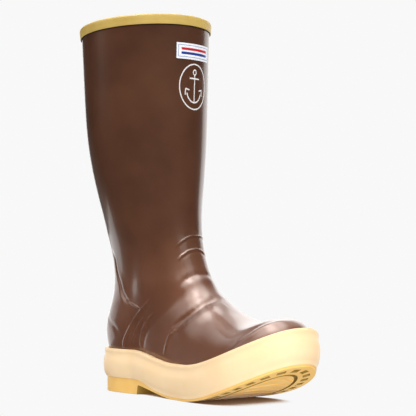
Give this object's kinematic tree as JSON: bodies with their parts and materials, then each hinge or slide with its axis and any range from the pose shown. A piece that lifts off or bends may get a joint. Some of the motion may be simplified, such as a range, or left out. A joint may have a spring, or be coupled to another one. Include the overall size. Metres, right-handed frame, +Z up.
{
  "type": "rubber deck boot",
  "caption": "Tall pull-on rubber deck boot for a left foot, with a moulded collar, a light rubber sidewall, an outsole with heel block, and a loose insole.",
  "frame": {"origin": "middle of the heel's ground face, which stands on the floor", "axes": "+X to the toe, +Z up along the shaft, -Y to the inner side of the foot"},
  "size_m": [0.3289, 0.1378, 0.3929],
  "materials": {
    "brown_rubber": "gloss",
    "yellow_rubber": "satin",
    "cream_rubber": "satin",
    "tan_rubber": "satin",
    "insole_felt": "matte",
    "white_patch": "satin"
  },
  "bodies": {
    "root": {"upper": "brown_rubber", "collar_binding": "yellow_rubber", "sidewall": "cream_rubber", "outsole": "tan_rubber", "insole": "insole_felt", "label": "white_patch"}
  },
  "joints": []
}
